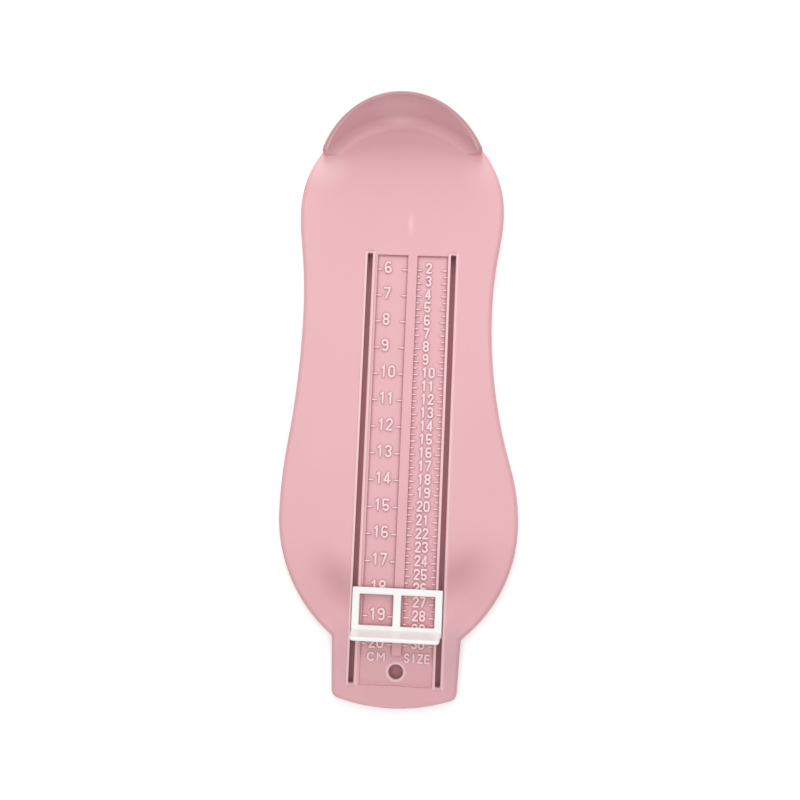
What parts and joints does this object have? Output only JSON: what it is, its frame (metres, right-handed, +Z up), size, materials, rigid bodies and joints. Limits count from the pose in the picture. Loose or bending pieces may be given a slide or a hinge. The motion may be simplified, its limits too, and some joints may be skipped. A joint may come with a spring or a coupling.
{
  "type": "child foot measuring gauge",
  "caption": "Moulded sole-shaped tray with a heel cup wall and raised ruler scales, and a toe-stop slider that runs in its slots to read a child's foot length.",
  "frame": {"origin": "on the table, under the middle of the tray's outline box", "axes": "+Z up out of the tray, +Y along the slots towards the heel wall, +X to the right with the heel wall away from the reader"},
  "size_m": [0.0894, 0.2252, 0.0262],
  "materials": {
    "tray_plastic": "satin pale pink moulded plastic",
    "slider_plastic": "smooth white moulded plastic"
  },
  "bodies": {
    "tray": {"base_tray": "tray_plastic"},
    "slider_body": {"slider": "slider_plastic", "slider_keeper": "slider_plastic"}
  },
  "joints": [
    {"name": "slider_slide", "type": "slide", "parent": "tray", "child": "slider_body", "axis": [0, 1, 0], "range_m": [-0.0183, 0.1344]}
  ]
}
